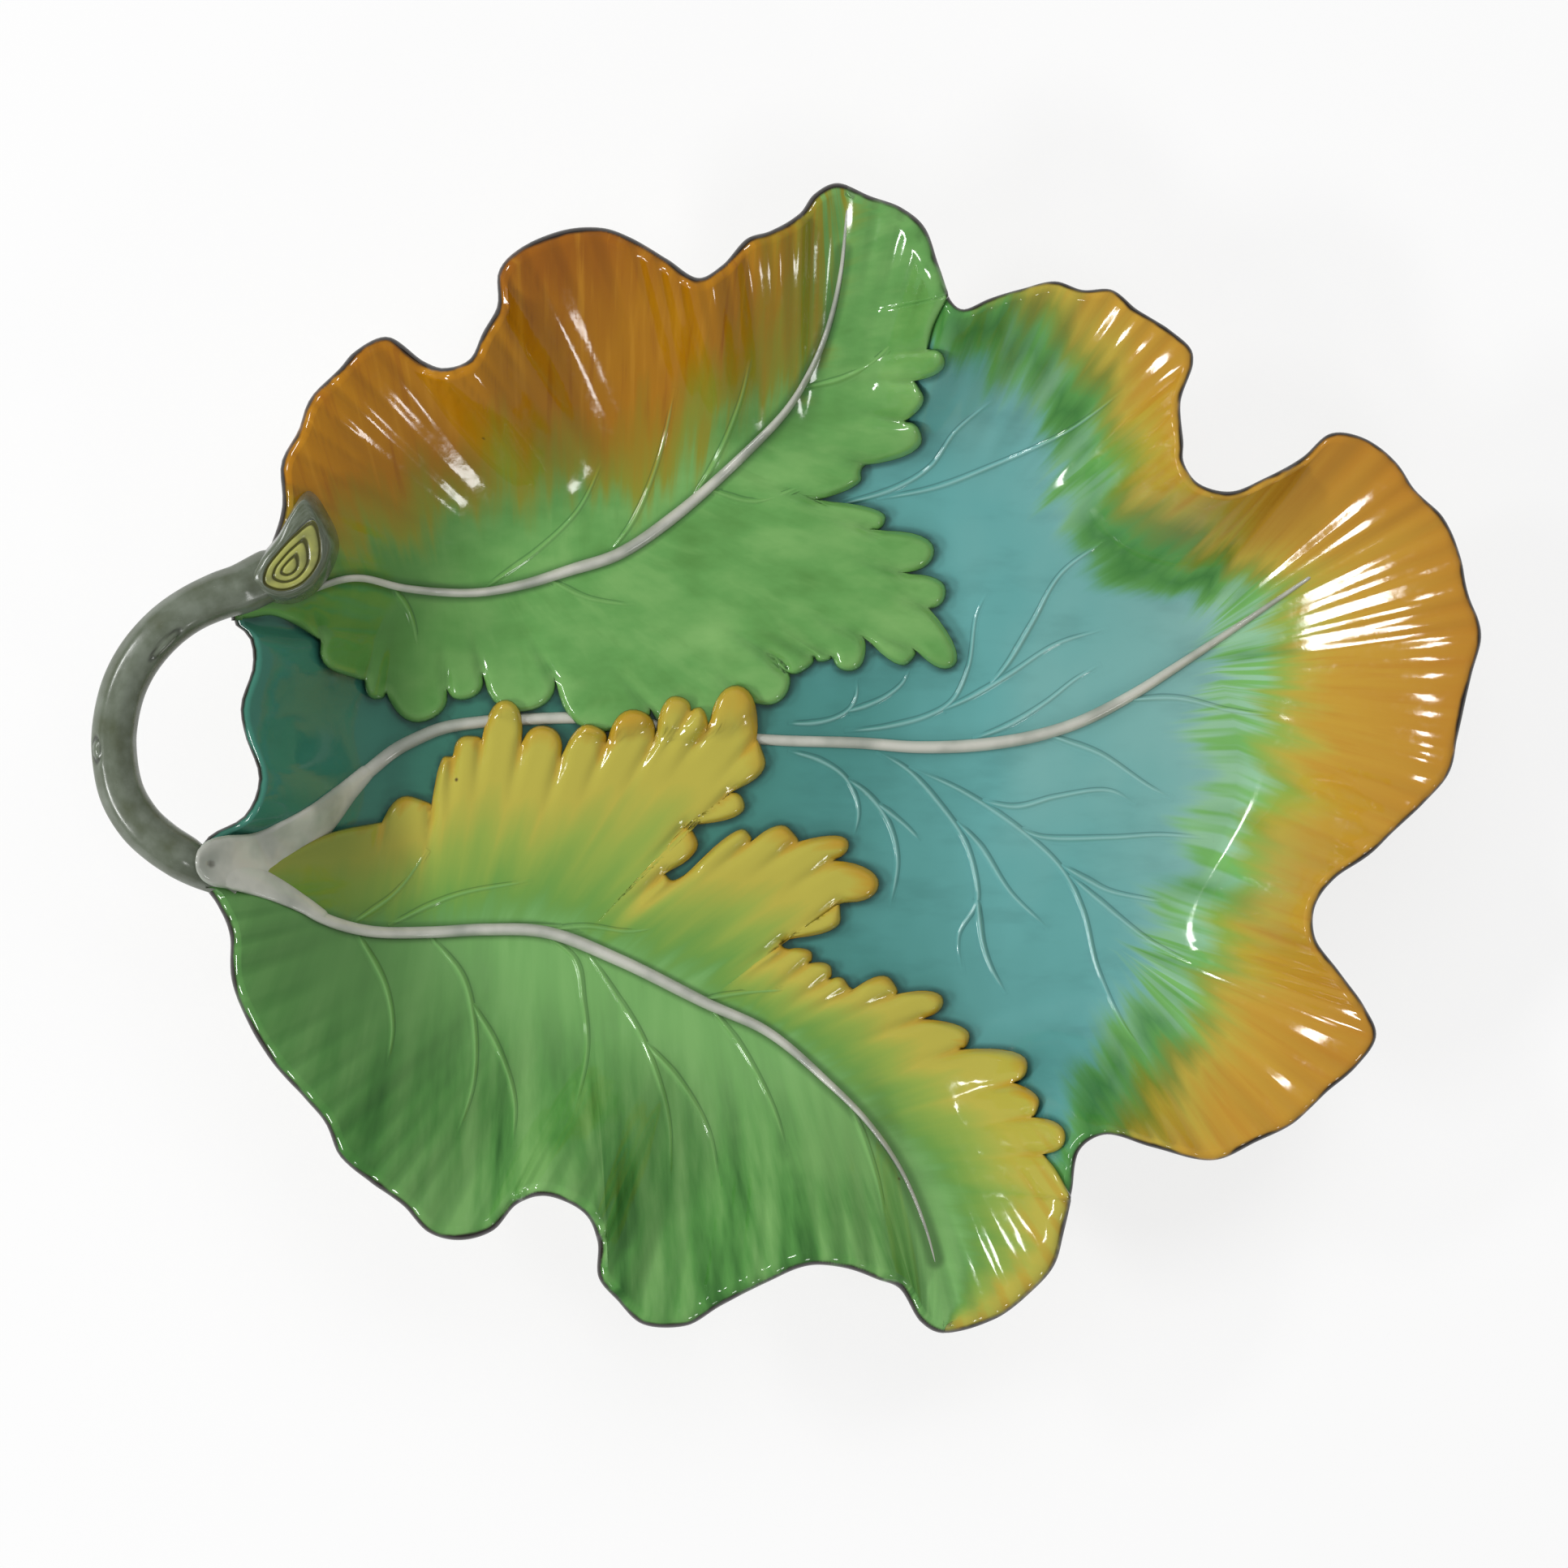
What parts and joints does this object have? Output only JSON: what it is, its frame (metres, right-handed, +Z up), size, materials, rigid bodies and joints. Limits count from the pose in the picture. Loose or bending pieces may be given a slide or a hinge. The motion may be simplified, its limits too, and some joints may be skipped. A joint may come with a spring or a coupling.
{
  "type": "leaf dish",
  "caption": "Shallow serving dish shaped as overlapping leaves with lobed fluted rims, toothed inner edges, raised midribs, a looped twig handle and an oval foot ring.",
  "frame": {"origin": "on the standing surface, under the middle of the dish and its handle", "axes": "+X from the handle towards the right lobe, +Z up out of the dish, +Y towards the brown and green leaf"},
  "size_m": [0.3436, 0.2834, 0.0552],
  "materials": {
    "turquoise_glaze": "glossy turquoise glaze shading through green to ochre at the rim",
    "upper_leaf_glaze": "glossy green glaze shading to brown at the rim",
    "lower_leaf_glaze": "glossy green glaze shading to yellow on the toothed half",
    "white_glaze": "glossy off-white glaze",
    "twig_glaze": "glossy grey-olive glaze",
    "foot_glaze": "cream glaze, wiped on the sole"
  },
  "bodies": {
    "root": {"turquoise_leaf": "turquoise_glaze", "upper_leaf": "upper_leaf_glaze", "lower_leaf": "lower_leaf_glaze", "forked_stalk": "white_glaze", "turquoise_midrib": "white_glaze", "upper_midrib": "white_glaze", "lower_midrib": "white_glaze", "twig_handle": "twig_glaze", "foot_ring": "foot_glaze"}
  },
  "joints": []
}
